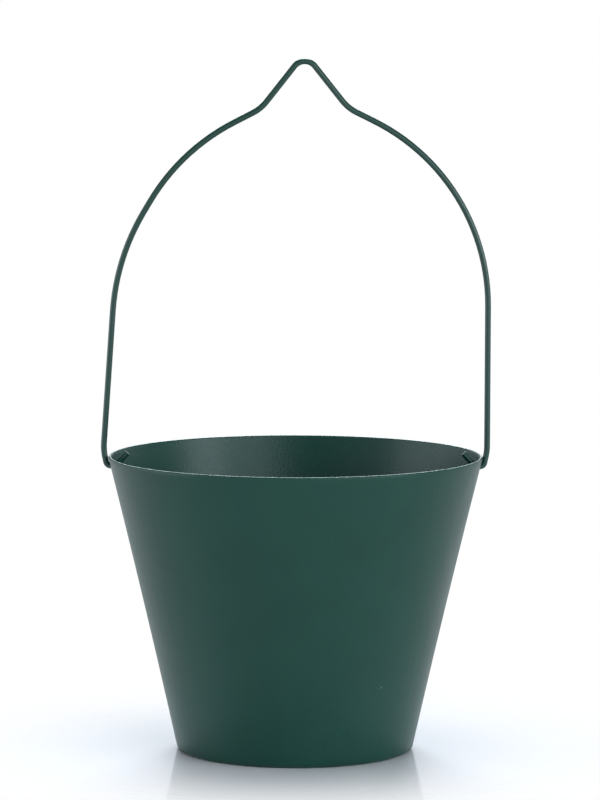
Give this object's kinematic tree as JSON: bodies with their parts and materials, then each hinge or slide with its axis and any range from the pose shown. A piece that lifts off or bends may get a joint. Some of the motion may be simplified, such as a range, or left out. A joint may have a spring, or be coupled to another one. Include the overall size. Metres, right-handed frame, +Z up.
{
  "type": "florist bucket",
  "caption": "Tapered round bucket for cut flowers, with a bent wire bail that swings on holes below the rim and rises to a hanging peak.",
  "frame": {"origin": "centre of the underside, on the surface that the bucket stands on", "axes": "+Z up along the bucket's axis; X along the line through the two bail holes; Y the way the bail swings"},
  "size_m": [0.2613, 0.251, 0.4645],
  "materials": {
    "bucket_shell": "dark green, satin with a fine moulded grain",
    "bail_wire": "dark green, smooth satin powder coat"
  },
  "bodies": {
    "bucket": {"bucket": "bucket_shell"},
    "bail": {"bail": "bail_wire"}
  },
  "joints": [
    {"name": "bail_swing", "type": "hinge", "parent": "bucket", "child": "bail", "pos_m": [0, 0, 0.1914], "axis": [1, 0, 0], "range_deg": [-130, 130]}
  ]
}
